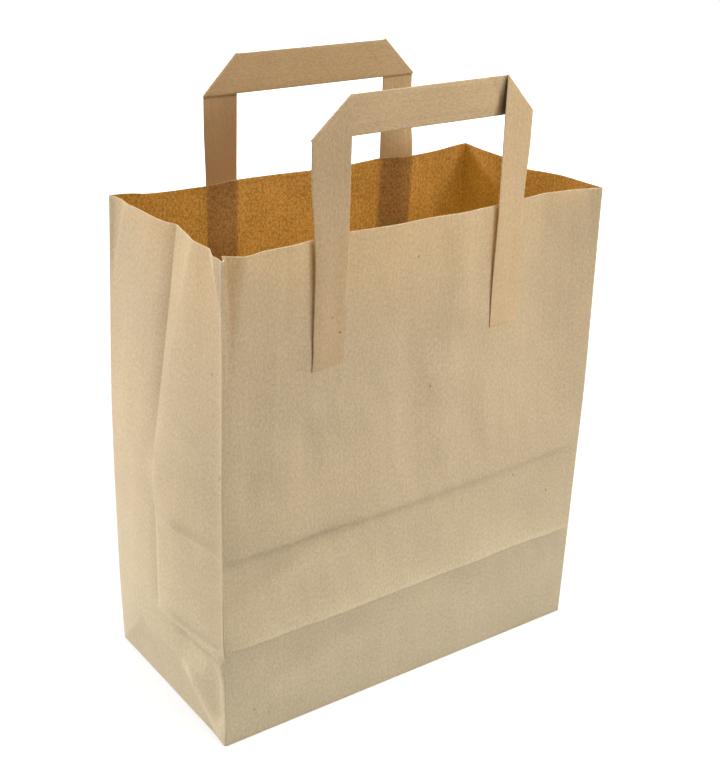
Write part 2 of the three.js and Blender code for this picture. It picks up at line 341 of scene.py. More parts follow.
def front_out(x, z):
    held = held_panel(x)
    out = held * base_ridge(z, fold_line(x)) - ground_tuck(z)
    out = out + held * through(FRONT_STEP, x) * stow_step(z, stow_line(x))
    out = out - bow(FRONT_MOUTH, x, z) - corner_dent(x, z)
    out = out + 0.55 * held * smooth(z, 0, 30) * ripple("front", x, z)
    for line, height, width in FRONT_WRINKLES:
        out = out + ridge(x, z, line, height, width)
    for line, height, width in FRONT_SWELLS:
        out = out + swelling(x, z, line, height, width)
    return out


def back_out(x, z):
    held = held_panel(x)
    out = 0.7 * held * base_ridge(z, np.full_like(x, FOLD_HEIGHT)) - ground_tuck(z)
    out = out + 0.4 * held * stow_step(z, np.full_like(x, STOW_BACK))
    out = out - bow(BACK_MOUTH, x, z)
    out = out + 0.6 * held * smooth(z, 2, 40) * ripple("back", x, z)
    seam = PAPER * smooth(x, SEAM_X - SEAM_LAP - SEAM_BLEND, SEAM_X - SEAM_LAP)
    return out + np.where(x > SEAM_X, 0, seam)


def belly_out(y, z):
    """The swelling of a gusset, with the 45 degree bottom folds and the base fold."""
    u = np.abs(y) / HALF_D
    up = np.clip(z / FOLD_HEIGHT, 1e-4, 1)
    past = np.clip((u - (1 - up)) / up, 0, 1)
    low = through(FOLD_RISE, up) * (1 - past ** (1.5 + 0.4 * up))
    fade = 1 - rise(z, BELLY_TOP, BAG_HEIGHT)
    high = fade * (1 - u ** 1.9)
    return BELLY * np.where(z < FOLD_HEIGHT, low, high)


# The gusset's mouth: where it starts to fall in, how far down its pockets run, how near to a
# corner they lie, and between which heights the close shape of the rim comes in
MOUTH_FROM = 118
POCKET_DOWN = 46
POCKET_REACH = 20
RIM_FALL = (185, 238)


def mouth_shape(table, y, z):
    """How the gusset's mouth falls in, with its pockets running out at the two corners."""
    down = rise(z, MOUTH_FROM, BAG_HEIGHT)
    t = 0.9 * rise(BAG_HEIGHT - z, 0, POCKET_DOWN)
    edge = HALF_D - np.abs(y)
    broad = through(table, y, GUSSET_BLUR) * (1 - np.exp(-edge / 2.5))
    warped = np.where(edge < POCKET_REACH, np.minimum(edge / (1 - t), POCKET_REACH), edge)
    near = through(table, np.sign(y) * (HALF_D - warped), RIM_BLUR) - broad
    return broad * down**1.4 + near * (1 - t) ** 0.6 * smooth(z, *RIM_FALL)


# The centre fold: where it starts to deepen, its depth at the mouth, its place low down, and
# how far it has moved to the front at the mouth
CENTRE_FROM = 132
CENTRE_DEPTH = 5.2
CENTRE_LOW = 1.8
CENTRE_MOVE = 2.4


def fold_centre(z):
    return CENTRE_LOW - CENTRE_MOVE * rise(z, CENTRE_FROM, BAG_HEIGHT)


def centre_fold(y, z, shift=0.0):
    """The centre fold, pressed inwards: deep at the mouth, faint on the belly."""
    up = rise(z, CENTRE_FROM, BAG_HEIGHT)
    depth = CENTRE_DEPTH * up**0.75 + 1.1 * smooth(z, 50, 58) * smooth(116 - z, 0, 16)
    depth = depth + 0.3 * smooth(z, 98, 112) * (1 - smooth(z, 126, 140))
    centre = shift + fold_centre(z)
    front_reach = 6 + 17 * up**1.5
    d = y - centre
    straight = smooth(up, 0.7, 0.95)
    front = straight * np.clip(1 + d / front_reach, 0, 1)
    front = front + (1 - straight) * np.exp(np.minimum(d, 0) / (4 + 8 * up))
    return depth * np.where(d < 0, front, np.exp(-np.maximum(d, 0) / (4.2 + 3.0 * up)))


# The crease that climbs from the left gusset's stow line to its centre fold, and its height
LEFT_DIAGONAL = ((-24, 104.5), (3, 135))
DIAGONAL_HEIGHT = 1.1


def left_diagonal(y, z):
    """The facet under the crease that climbs from the stow line to the centre fold."""
    (y0, z0), (y1, z1) = LEFT_DIAGONAL
    length = math.hypot(y1 - y0, z1 - z0)
    along = ((y - y0) * (y1 - y0) + (z - z0) * (z1 - z0)) / length**2
    off = ((z - z0) * (y1 - y0) - (y - y0) * (z1 - z0)) / length
    across = np.where(off > 0, crest(off, 2.2), np.exp(-((off / 9) ** 2)))
    return DIAGONAL_HEIGHT * across * smooth(along, -0.05, 0.25) * smooth(1 - along, -0.1, 0.3)


# Creases of the left gusset: line, height, width, and wear with a painted highlight, a negative
# height being a furrow. The right gusset's bottom folds are worn and brightened along the same
# lines.
LEFT_CREASES = {
    "low_front": ([(-60, -5), (-43, 10.5), (-34, 18.6), (-25.7, 27), (-18, 34)], 1.7, 2.8, 1.0),
    "low_rear": ([(57, -1), (36, 19), (22, 33)], 0.5, 4, 0.2),
    "rear_soft": ([(25, 36), (9.5, 16), (4, -3)], -0.5, 5, 0.0),
    "top_front": ([(-20, 250), (-14, 215), (-5, 168)], 0.2, 4, 0.1),
}

# The dimple over the left gusset's front bottom fold: its steep edge, how near to that edge it
# is deep and how far it runs out, and its depth
FACET_EDGE = [(-54.4, 4), (-54, 36), (-51, 46), (-44, 50.5), (-30, 51.5)]
FACET_STEEP = 5.5
FACET_FADE = 10
FACET_DEPTH = 5.8


def low_facet(y, z):
    """How far the paper lies in at the dimple: steep at its edge, and running out slowly."""
    d, _ = polyline_distance(y, z, FACET_EDGE)
    above = (z + 3) - 0.86 * (y + 58)
    near = (1 - np.exp(-((d / FACET_STEEP) ** 2))) * np.exp(-d / FACET_FADE)
    deep = FACET_DEPTH * near * smooth(above, 0, 5)
    return deep * smooth(BASE_FOLD_SIDE - z, 0, 7) * smooth(z, 2, 15)


def left_out(y, z):
    out = belly_out(y, z) - mouth_shape(LEFT_MOUTH, y, z) - centre_fold(y, z)
    held = held_gusset(y)
    front_half = 1 - 0.9 * smooth(y, -24, 6)
    out = out + 0.9 * held * front_half * side_crease(z, STOW_SIDE)
    out = out + 1.2 * held * front_half * side_crease(z, BASE_FOLD_SIDE)
    out = out + left_diagonal(y, z) - low_facet(y, z)
    for line, height, width, _ in LEFT_CREASES.values():
        out = out + ridge(y, z, line, height, width, 0.25)
    edge = y + HALF_D
    lip = (1 - np.exp(-edge / 5)) * np.exp(-edge / 14)
    lip = (2.2 + 0.6 * smooth(z, 90, 180)) * lip
    out = out - lip * smooth(z, 46, 66) * (1 - smooth(z, 225, 245))
    return out + 0.25 * smooth(z, 4, 40) * held * ripple("left", y, z)


# The right gusset: how far its centre fold stands to the front of the left one's, and the two
# creases that climb to it
RIGHT_SHIFT = -1.4
RIGHT_CREASES = ([(-20, 105), (0, 135)], [(20, 105), (0, 135)])


def right_out(y, z):
    out = belly_out(y, z) - mouth_shape(RIGHT_MOUTH, y, z) - centre_fold(y, z, RIGHT_SHIFT)
    held = held_gusset(y)
    for line in (STOW_SIDE, BASE_FOLD_SIDE):
        out = out + 0.4 * held * side_crease(z, line)
    for line in RIGHT_CREASES:
        out = out + ridge(y, z, line, 0.6, 3.5, 0.2)
    return out + 0.25 * smooth(z, 4, 40) * held * ripple("right", y, z)


# Each wall: its corners at the low and high end of s, its axis, its outward side, its form
WALLS = {
    "front": ("front_left", "front_right", 0, -1, front_out),
    "right": ("front_right", "back_right", 1, 1, right_out),
    "back": ("back_left", "back_right", 0, 1, back_out),
    "left": ("front_left", "back_left", 1, -1, left_out),
}

# Heights of the base fold and of the stow line at a gusset's front corner
FRONT_CORNERS = {"left": (55.6, 103.6), "right": (56.6, 107.3)}


def crease_heights(wall, s):
    """Heights of the base fold and of the stow line on a wall."""
    if wall == "front":
        return fold_line(s), stow_line(s)
    if wall == "back":
        return np.full_like(s, FOLD_HEIGHT), np.full_like(s, STOW_BACK)
    share = smooth(HALF_D - np.abs(s), 0, 8)
    front_fold, front_stow = FRONT_CORNERS[wall]
    fold_corner = np.where(s < 0, front_fold, FOLD_HEIGHT)
    stow_corner = np.where(s < 0, front_stow, STOW_BACK)
    fold = fold_corner + (BASE_FOLD_SIDE - fold_corner) * share
    return fold, stow_corner + (STOW_SIDE - stow_corner) * share


def row_height(wall, s, v):
    """Bends the mesh's rows so that two of them run along the creases."""
    fold, stow = crease_heights(wall, s)
    low = fold * v / FOLD_HEIGHT
    middle = fold + (stow - fold) * (v - FOLD_HEIGHT) / (STOW_HEIGHT - FOLD_HEIGHT)
    high = stow + (BAG_HEIGHT - stow) * (v - STOW_HEIGHT) / (BAG_HEIGHT - STOW_HEIGHT)
    return np.where(v < FOLD_HEIGHT, low, np.where(v < STOW_HEIGHT, middle, high))


def wall_point(wall, s, z, extra=0.0):
    """Points on the outside of a wall, pushed out by the extra."""
    low, high, axis, side, form = WALLS[wall]
    half = HALF_D if axis else HALF_W
    share = (s + half) / (2 * half)
    (x0, y0), (x1, y1) = corner(low, z), corner(high, z)
    x, y = x0 + (x1 - x0) * share, y0 + (y1 - y0) * share
    out = form(s, z) + extra
    past = np.clip(FOLD_RADIUS - (half - np.abs(s)), 0, FOLD_RADIUS)
    out = out - (FOLD_RADIUS - np.sqrt(FOLD_RADIUS**2 - past**2))
    if axis:
        return x + side * out, y
    return x, y + side * out


# How far from a fold the columns nearest to it stand, and where the even columns start
NEAR_FOLD = [0.5 * FOLD_RADIUS, 0.74 * FOLD_RADIUS, FOLD_RADIUS, 1.7, 2.8]
EVEN_FROM = 4.2

# Rows of the sheet: how many lie up to the base fold, the stow line and the mouth, the extra
# ones close to the two creases, and the ones next to its two ends
ROW_COUNTS = (41, 24, 62)
NEAR_BASE = (-1.1, -0.5, 0.5, 1.1)
NEAR_STOW = (-1.4, -1, -0.6, -0.2, 0.2, 0.6, 1.2)
FLOOR_ROW = 0.06
MOUTH_ROW = 0.5


def wall_columns(half, count, extra=()):
    inside = half - EVEN_FROM
    steps = list(np.linspace(-inside, inside, count))
    near = [half - d for d in NEAR_FOLD]
    return np.array(sorted({*steps, *near, *(-n for n in near), *extra}))


def sheet_rows():
    ends = (0, FOLD_HEIGHT, STOW_HEIGHT, BAG_HEIGHT)
    rows = {FLOOR_TOP + FLOOR_ROW, BAG_HEIGHT - MOUTH_ROW}
    for low, high, count in zip(ends, ends[1:], ROW_COUNTS):
        rows.update(np.linspace(low, high, count))
    rows.update(FOLD_HEIGHT + d for d in NEAR_BASE)
    rows.update(STOW_HEIGHT + d for d in NEAR_STOW)
    return np.array(sorted(rows))


def tube():
    """The outside points of the tube, column by column, with the inward side of each."""
    rows = sheet_rows()
    columns = []
    edge = (1 - math.sqrt(0.5)) * FOLD_RADIUS
    seam = (SEAM_X + SEAM_CUT, SEAM_X, SEAM_X - SEAM_LAP, SEAM_X - SEAM_LAP - SEAM_BLEND)
    centre = [fold_centre(0) + d for d in (-0.4, 0, 0.4)]
    # Each wall: where it ends in a fold's column, its other columns, and which way round it runs
    order = (
        ("front", HALF_W - edge, wall_columns(HALF_W, 110), 1),
        ("right", None, wall_columns(HALF_D, 34), 1),
        ("back", HALF_W - edge, wall_columns(HALF_W, 58, seam), -1),
        ("left", None, wall_columns(HALF_D, 92, centre), -1),
    )
    start = 0.0
    for wall, end, inner, way in order:
        axis, side = WALLS[wall][2], WALLS[wall][3]
        half = HALF_D if axis else HALF_W
        stations = list(inner) if end is None else [-end, *inner, end]
        for s in stations[::way]:
            v = np.full_like(rows, s)
            if axis:
                v = v + (fold_centre(rows) - fold_centre(0)) * (1 - (s / half) ** 2) ** 2
            z = row_height(wall, v, rows)
            x, y = wall_point(wall, v, z)
            inward = np.array([-side, 0.0]) if axis else np.array([0.0, -side])
            if end is not None and abs(s) == end:
                inward = np.array([-math.copysign(1, s), -side])
            columns.append((x, y, z, inward, start + way * s + half, wall, v))
        start += 2 * half
    return rows, columns


def mesh_piece(name, points, faces, materials, slots=None, sheet=None, crease=None, flat_ends=0):
    """A smooth mesh from points in millimetres, with its sheet coordinates for the materials."""
    mesh = bpy.data.meshes.new(name)
    mesh.from_pydata((np.asarray(points) * MM).tolist(), [], faces)
    for material in materials:
        mesh.materials.append(material)
    if slots is not None:
        mesh.polygons.foreach_set("material_index", slots)
    rounded = len(mesh.polygons) - flat_ends
    mesh.polygons.foreach_set("use_smooth", [True] * rounded + [False] * flat_ends)
    if sheet is not None:
        layer = mesh.attributes.new("sheet", "FLOAT_VECTOR", "POINT")
        layer.data.foreach_set("vector", (np.asarray(sheet) * MM).ravel())
    # The crease attribute holds painted light: scuffing with a painted highlight on the outer
    # skin, painted shade on the inner skin and on the tapes
    if crease is not None:
        layer = mesh.attributes.new("crease", "FLOAT", "POINT")
        layer.data.foreach_set("value", np.asarray(crease).ravel())
    mesh.validate()
    piece = bpy.data.objects.new(name, mesh)
    bpy.context.scene.collection.objects.link(piece)
    return piece


# Wear with a painted highlight: on the upright folds, on the base fold of a gusset and of a wide
# panel, and on the stow line and the climbing crease of a gusset
UPRIGHT_WEAR_AND_HIGHLIGHT = 0.35
GUSSET_WEAR_AND_HIGHLIGHT = 0.25
PANEL_WEAR_AND_HIGHLIGHT = 0.2
LINE_WEAR_AND_HIGHLIGHT = 0.2
WEAR_AND_HIGHLIGHT_WIDTH = 0.5


def crease_amount(wall, s, z):
    """How far the paper at its folds turns to the lighter colour, partly scuffed and partly a
    painted highlight: 1 for all of it.
    """
    on_side = WALLS[wall][2] == 1
    half = HALF_D if on_side else HALF_W
    wear_and_painted_light_share = UPRIGHT_WEAR_AND_HIGHLIGHT * np.exp(-(((half - np.abs(s)) / 0.8) ** 2))
    fold, stow = crease_heights(wall, s)
    base_wear_and_highlight = GUSSET_WEAR_AND_HIGHLIGHT if on_side else PANEL_WEAR_AND_HIGHLIGHT
    wear_and_painted_light_share = np.maximum(wear_and_painted_light_share, base_wear_and_highlight * crest(z - fold - 0.3, WEAR_AND_HIGHLIGHT_WIDTH))
    if on_side:
        wear_and_painted_light_share = np.maximum(wear_and_painted_light_share, LINE_WEAR_AND_HIGHLIGHT * crest(z - stow, WEAR_AND_HIGHLIGHT_WIDTH))
        for line, _, _, wear_and_highlight in LEFT_CREASES.values():
            wear_and_painted_light_share = np.maximum(wear_and_painted_light_share, ridge(s, z, line, wear_and_highlight, 1.5))
        wear_and_painted_light_share = np.maximum(wear_and_painted_light_share, ridge(s, z, LEFT_DIAGONAL, LINE_WEAR_AND_HIGHLIGHT, 0.7, 0.1))
    return wear_and_painted_light_share


# How deep the painted shade is beside a fold on the inside, and how far from it the shade has
# mostly gone
INNER_SHADE = 0.8
SHADE_REACH = 4


def inner_shade(wall, s):
    """Painted shade beside a fold on the inside, for the doubled paper letting less light through.
    """
    half = HALF_D if WALLS[wall][2] else HALF_W
    return INNER_SHADE * np.exp(-(half - np.abs(s)) / SHADE_REACH)


def flap(outline, low, high):
    """Points and faces of one flat ply of paper between two heights."""
    count = len(outline)
    points = [(x, y, low) for x, y in outline] + [(x, y, high) for x, y in outline]
    faces = [tuple(range(count))[::-1], tuple(range(count, 2 * count))]
    for i in range(count):
        j = (i + 1) % count
        faces.append((i, j, count + j, count + i))
    area = sum(a[0] * b[1] - b[0] * a[1] for a, b in zip(outline, outline[1:] + outline[:1]))
    if area < 0:
        faces = [f[::-1] for f in faces]
    return points, faces


def base_flaps():
    """The plies of the folded base: two long flaps below and two end flaps on the floor."""
    far = BOTTOM_OVERLAP / 2
    tip = HALF_W - HALF_D
    plies = []
    for side, low in ((-1, PAPER), (1, 0)):
        edge = side * HALF_D
        outline = [
            (-HALF_W, edge), (HALF_W, edge), (tip, 0), (tip, -side * far), (-tip, -side * far),
            (-tip, 0),
        ]
        plies.append((flap(outline, low, FLOOR_UNDER + PAPER / 2), 0))
    for side in (-1, 1):
        x0, x1 = side * (HALF_W - PAPER), side * (HALF_W - END_FLAP_LENGTH)
        y = HALF_D - PAPER
        outline = [(x0, -y), (x1, -y), (x1, y), (x0, y)]
        plies.append((flap(outline, FLOOR_TOP - PAPER / 2, FLOOR_TOP + PAPER), 1))
    return plies


# How far apart the skins lie in the sheet's coordinates, so that their patterns differ
INNER_SHEET = 10.0


def build_bag(outer, inner, cut):
    rows, columns = tube()
    n, m = len(columns), len(rows)
    points, sheet, crease = [], [], []
    for skin in (0, 1):
        for x, y, z, inward, perimeter, wall, s in columns:
            height = z.copy()
            height[0] = FLOOR_TOP if skin else FLOOR_UNDER
            dx, dy = skin * inward[0] * PAPER, skin * inward[1] * PAPER
            points.append(np.stack([x + dx, y + dy, height], 1))
            place = [np.full(m, perimeter), height, np.full(m, INNER_SHEET * skin)]
            sheet.append(np.stack(place, 1))
            # Outside: scuffing with a painted highlight along the folds; inside: painted shade
            # beside the folds
            crease.append(inner_shade(wall, s) if skin else crease_amount(wall, s, height))
    faces, slots = [], []
    for i in range(n):
        j = (i + 1) % n
        for k in range(m - 1):
            a, b = i * m + k, j * m + k
            faces.append((a, b, b + 1, a + 1))
            slots.append(0)
            a, b = a + n * m, b + n * m
            faces.append((a, a + 1, b + 1, b))
            slots.append(1)
        a, b = i * m + m - 1, j * m + m - 1
        faces.append((a, b, b + n * m, a + n * m))
        slots.append(2)
    faces.append(tuple(i * m for i in range(n))[::-1])
    faces.append(tuple((n + i) * m for i in range(n)))
    slots += [0, 1]
    points, sheet, crease = np.concatenate(points), np.concatenate(sheet), np.concatenate(crease)
    tube_faces = len(faces) - 2
    for (ply_points, ply_faces), slot in base_flaps():
        start = len(points)
        points = np.concatenate([points, ply_points])
        sheet = np.concatenate([sheet, ply_points])
        crease = np.concatenate([crease, np.zeros(len(ply_points))])
        faces += [tuple(start + v for v in f) for f in ply_faces]
        slots += [slot] * len(ply_faces)
    flat = len(faces) - tube_faces
    return mesh_piece("bag_sheet", points, faces, [outer, inner, cut], slots, sheet, crease, flat)


# Across the tape: where its columns stand, and how thick it is there
TAPE_SECTION = [
    (0, 0.3), (0.012, 0.75), (0.04, 1), (0.13, 1), (0.22, 1), (0.235, 1), (0.32, 1), (0.41, 1),
    (0.5, 1), (0.59, 1), (0.68, 1), (0.765, 1), (0.86, 1), (0.96, 1), (0.988, 0.75), (1, 0.3),
]
TAPE_SHARES = np.array([t for t, _ in TAPE_SECTION])

# The tape's last ply ends on its rear: the step, and the shares of the width that it spans
SEAM_STEP = 0.07
SEAM_SPAN = (0.23, 0.97)

# Where the painted shade in the gap behind the right leg's fold begins on the front bar, by
# height, and how softly; the middle and half the length of the bar, by the length from the left
# foot
FRONT_PAINTED_GAP_SHADE = [(BAR_BOTTOM, 38.3), (BAR_TOP, 41)]
GAP_SHADE_BLUR = 2
BAR_MIDDLE = 168
BAR_HALF = 52.6

# How far apart the tape's front and rear lie in the sheet's coordinates
TAPE_REAR = 40


def tape(name, stations, material, painted_gap_shade=None):
    """A strip through stations: its edges, facing, humps across it, plumpness, length and painted
    shade.
    """
    thick = np.array([h for _, h in TAPE_SECTION]) * TAPE_THICKNESS / 2
    on_ply = (TAPE_SHARES > SEAM_SPAN[0]) * (TAPE_SHARES < SEAM_SPAN[1])
    rear_thick = thick + SEAM_STEP * on_ply
    across = TAPE_SHARES * TAPE_WIDTH
    points, sheet = [], []
    for a, b, n, humps, plump, length, _ in stations:
        line = a + np.outer(TAPE_SHARES, b - a) + np.outer(humps, n)
        points += list(line + np.outer(plump * thick, n))
        points += list((line - np.outer(plump * rear_thick, n))[::-1])
        sheet += [(length, x, 0) for x in across]
        sheet += [(length, x, TAPE_REAR) for x in across[::-1]]
    ring = 2 * len(TAPE_SHARES)
    faces = []
    for s in range(len(stations) - 1):
        for i in range(ring):
            j = (i + 1) % ring
            faces.append((s * ring + i, s * ring + j, (s + 1) * ring + j, (s + 1) * ring + i))
    last = (len(stations) - 1) * ring
    faces.append(tuple(range(ring))[::-1])
    faces.append(tuple(last + i for i in range(ring)))
    first, second = np.asarray(points[:ring]), np.asarray(points[ring:2 * ring])
    run = (second - first).mean(0)
    turn = np.cross(first[1] - first[0], first[-1] - first[0]) @ run
    if turn > 0:
        faces = [f[::-1] for f in faces]
    # Painted shade along the tape, by its length
    deep = np.repeat([depth for *_, depth in stations], ring)
    # Painted shade in the gap where the front bar runs behind the right leg
    if painted_gap_shade:
        places = np.asarray(points)
        edge = through(painted_gap_shade, places[:, 2])
        on_bar = [abs(length - BAR_MIDDLE) < BAR_HALF for *_, length, _ in stations]
        shade = smooth(places[:, 0], edge, edge + GAP_SHADE_BLUR)
        deep = np.maximum(deep, np.repeat(on_bar, ring) * shade)
    return mesh_piece(name, points, faces, [material], None, sheet, deep, flat_ends=2)


# Each handle: its side of the bag, how far each leg's outer and inner edge stand off the panel
# at the foot and at the mouth, the y of those edges at the top, how far the bar's ends stand
# away from the legs, and the shift along the panel. The key -1 is the left leg.
HANDLES = {
    "front_handle": dict(
        side=-1,
        foot={-1: (0.1, -0.16), 1: (-0.16, 0.1)},
        lift={-1: (1.7, 2.6), 1: (0.0, 1.6)},
        plane={-1: (-49, -51.5), 1: (-49.2, -51)},
        curl={-1: 0.1, 1: 0.35},
        shift=0.0,
    ),
    "back_handle": dict(
        side=1,
        foot={-1: (-0.16, -0.16), 1: (-0.16, -0.16)},
        lift={-1: (0.3, 0.3), 1: (0.3, 0.3)},
        plane={-1: (47.5, 48.2), 1: (47.5, 47.5)},
        curl={-1: 0.1, 1: 0.1},
        shift=2.0,
    ),
}


# How deep the painted shade on each tape is, by the length from its left foot
PAINTED_TAPE_SHADE = {
    "front_handle": [
        (0, 0.32), (90, 0.32), (125, 0.08), (150, 0), (250, 0), (300, 0.12), (355, 0.22),
    ],
    "back_handle": [
        (0, 0.85), (62, 0.8), (84, 0.7), (100, 0.5), (114, 0.3), (125, 0.2), (225, 0), (262, 0.05),
        (282, 0.6), (400, 0.8),
    ],
}


# Stations of a handle: on each glued leg after its first, on each free leg with its lower end,
# in each half turn over a corner, and on the bar. A leg's second one is just over its foot.
LEG_STATIONS = 32
FREE_STATIONS = 22
TURN_STEPS = 10
BAR_STATIONS = 90
FOOT_ROW = 0.05

# The curl at the bar's ends: where it is highest, and how wide, in shares of the bar
CURL_AT = 0.12
CURL_WIDTH = 0.03


def handle_stations(side, foot, lift, plane, curl, shift):
    """The stations of a handle, from its left foot over the bar to its right foot."""
    wall = "front" if side < 0 else "back"
    outward = np.array([0.0, side, 0.0])
    bend = (TAPE_THICKNESS + SEAM_STEP + TAPE_PLY_GAP) / 2
    flat = np.zeros(len(TAPE_SHARES))

    def on_panel(x, z, stand, plump):
        height = np.full_like(x, z)
        (left_x, _), (right_x, _) = corner(wall + "_left", height), corner(wall + "_right", height)
        s = BAG_WIDTH * (x - left_x) / (right_x - left_x) - HALF_W
        return wall_point(wall, s, height, stand + plump * (TAPE_THICKNESS / 2 + SEAM_STEP))[1]

    def leg(hand):
        outer, inner = hand * LEG_OUTER + shift, hand * LEG_INNER + shift
        (out_foot, in_foot), (out_lift, in_lift) = foot[hand], lift[hand]
        out_plane, in_plane = plane[hand]
        stations = []
        for z in (LEG_BOTTOM, *np.linspace(LEG_BOTTOM + FOOT_ROW, BAG_HEIGHT, LEG_STATIONS)):
            low = rise(z, LEG_BOTTOM, BAG_HEIGHT) ** 0.8
            stand_out = out_foot + (out_lift - out_foot) * low
            stand_in = in_foot + (in_lift - in_foot) * low
            stands = stand_out + (stand_in - stand_out) * TAPE_SHARES
            plump = FOOT_PLUMPNESS + (1 - FOOT_PLUMPNESS) * low
            line = on_panel(outer + (inner - outer) * TAPE_SHARES, z, stands, plump)
            a, b = np.array([outer, line[0], z]), np.array([inner, line[-1], z])
            humps = side * (line - (line[0] + (line[-1] - line[0]) * TAPE_SHARES))
            stations.append((a, b, outward, humps, plump))
        (_, ya, _), (_, yb, _), _, humps, _ = stations[-1]
        for t in np.linspace(0, 1, FREE_STATIONS)[1:]:
            free = smooth(t, 0, 0.7)
            za = BAG_HEIGHT + t * (BAR_BOTTOM - BAG_HEIGHT)
            zb = BAG_HEIGHT + t * (BAR_TOP - BAG_HEIGHT)
            a = np.array([outer, ya + (out_plane - ya) * free, za])
            b = np.array([inner, yb + (in_plane - yb) * free, zb])
            stations.append((a, b, outward, humps * (1 - smooth(t, 0, 0.5)), 1.0))
        return stations

    def over_corner(hand, last):
        away = np.array([hand, 0, 1]) / math.sqrt(2)
        a0, b0, *_ = last
        stations = []
        for i in range(1, TURN_STEPS):
            turn = math.pi * i / TURN_STEPS
            n = outward * math.cos(turn) + away * math.sin(turn)
            move = away * (bend * math.sin(turn)) + outward * (bend * (math.cos(turn) - 1))
            stations.append((a0 + move, b0 + move, n, flat, 1.0))
        return stations

    left, right = leg(-1), leg(1)
    corner_left, corner_right = over_corner(-1, left[-1]), over_corner(1, right[-1])
    (la, lb, *_), (ra, rb, *_) = left[-1], right[-1]
    back = -2 * bend * outward
    bar = []
    for t in np.linspace(0, 1, BAR_STATIONS):
        loose = sum(
            curl[hand] * math.exp(-((from_end - CURL_AT) / CURL_WIDTH) ** 2)
            for hand, from_end in ((-1, t), (1, 1 - t))
        )
        away = -outward * loose
        a = la + (ra - la) * t + back + away
        b = lb + (rb - lb) * t + back + away
        bar.append((a, b, -outward, flat, 1.0))
    return left + corner_left + bar + corner_right[::-1] + right[::-1]


def with_lengths(stations, painted_shades):
    """Adds the length so far, and how deep the painted shade is there."""
    places, length, middle = [], 0.0, None
    for a, b, *_ in stations:
        now = (a + b) / 2
        length += 0.0 if middle is None else float(np.linalg.norm(now - middle))
        places.append(length)
        middle = now
    deep = through(painted_shades, np.array(places))
    return [(*station, place, tone) for station, place, tone in zip(stations, places, deep)]


class Nodes:
    """The nodes of a material or a world."""

    def __init__(self, owner):
        owner.use_nodes = True
        self.owner = owner
        self.tree = owner.node_tree
        self.tree.nodes.clear()

    def add(self, kind, inputs=None, **settings):
        node = self.tree.nodes.new(kind)
        for key, value in settings.items():
            setattr(node, key, value)
        for key, value in (inputs or {}).items():
            if isinstance(value, bpy.types.NodeSocket):
                self.tree.links.new(value, node.inputs[key])
            else:
                node.inputs[key].default_value = value
        return node

    def math(self, operation, a, b=0.0, c=0.0, clamp=False):
        inputs = {0: a, 1: b, 2: c}
        return self.add("ShaderNodeMath", inputs, operation=operation, use_clamp=clamp).outputs[0]

    def stretch(self, vector, scale):
        inputs = {"Vector": vector, "Scale": scale}
        return self.add("ShaderNodeMapping", inputs, vector_type="POINT").outputs[0]

    def noise(self, vector, scale, detail=2.0, rough=0.5):
        inputs = {"Vector": vector, "Scale": scale, "Detail": detail, "Roughness": rough}
        return self.add("ShaderNodeTexNoise", inputs).outputs["Fac"]

    def span(self, value, low, high, to_low=0.0, to_high=1.0, soft=False):
        inputs = {0: value, 1: low, 2: high, 3: to_low, 4: to_high}
        kind = "SMOOTHSTEP" if soft else "LINEAR"
        return self.add("ShaderNodeMapRange", inputs, interpolation_type=kind).outputs[0]

    def mix(self, factor, a, b, blend="MIX"):
        inputs = {0: factor, 6: a, 7: b}
        return self.add("ShaderNodeMix", inputs, data_type="RGBA", blend_type=blend).outputs[2]

    def attribute(self, name):
        return self.add("ShaderNodeAttribute", attribute_name=name)

    def seen(self):
        """1 for what the camera sees, straight or in a gloss."""
        path = self.add("ShaderNodeLightPath").outputs
        return self.math("MAXIMUM", path["Is Camera Ray"], path["Is Glossy Ray"])

    def output(self, shader, kind="ShaderNodeOutputMaterial"):
        self.add(kind, {"Surface": shader.outputs[0]})
        return self.owner


def grey(value):
    return (value, value, value, 1)


# Scales of the paper's noises and flecks, in waves per metre
CLOUDS = 55
FIBRES = 900
STREAKS = 600
SPECKS = 1500
BLOTS = 700
FLECKS = 120
FLECK_COLOUR = (0.16, 0.085, 0.035, 1)

# How much the fibres, the streaks and the flecks are drawn out, as a share of their scale
FIBRE_SHARE = 0.55
STREAK_SHARE = 0.03
FLECK_SHARE = 0.6

# Up to which height the bag's foot is painted paler and bluer, as a sheen of the white floor, in
# metres
PAINTED_SHEEN_HEIGHT = 0.14

# The paper's gloss, and the relief of its grain: strength, and depth in metres
ROUGHNESS = 0.55
SPECULAR = 0.6
GRAIN_STRENGTH = 0.16
GRAIN_DEPTH = 0.0004


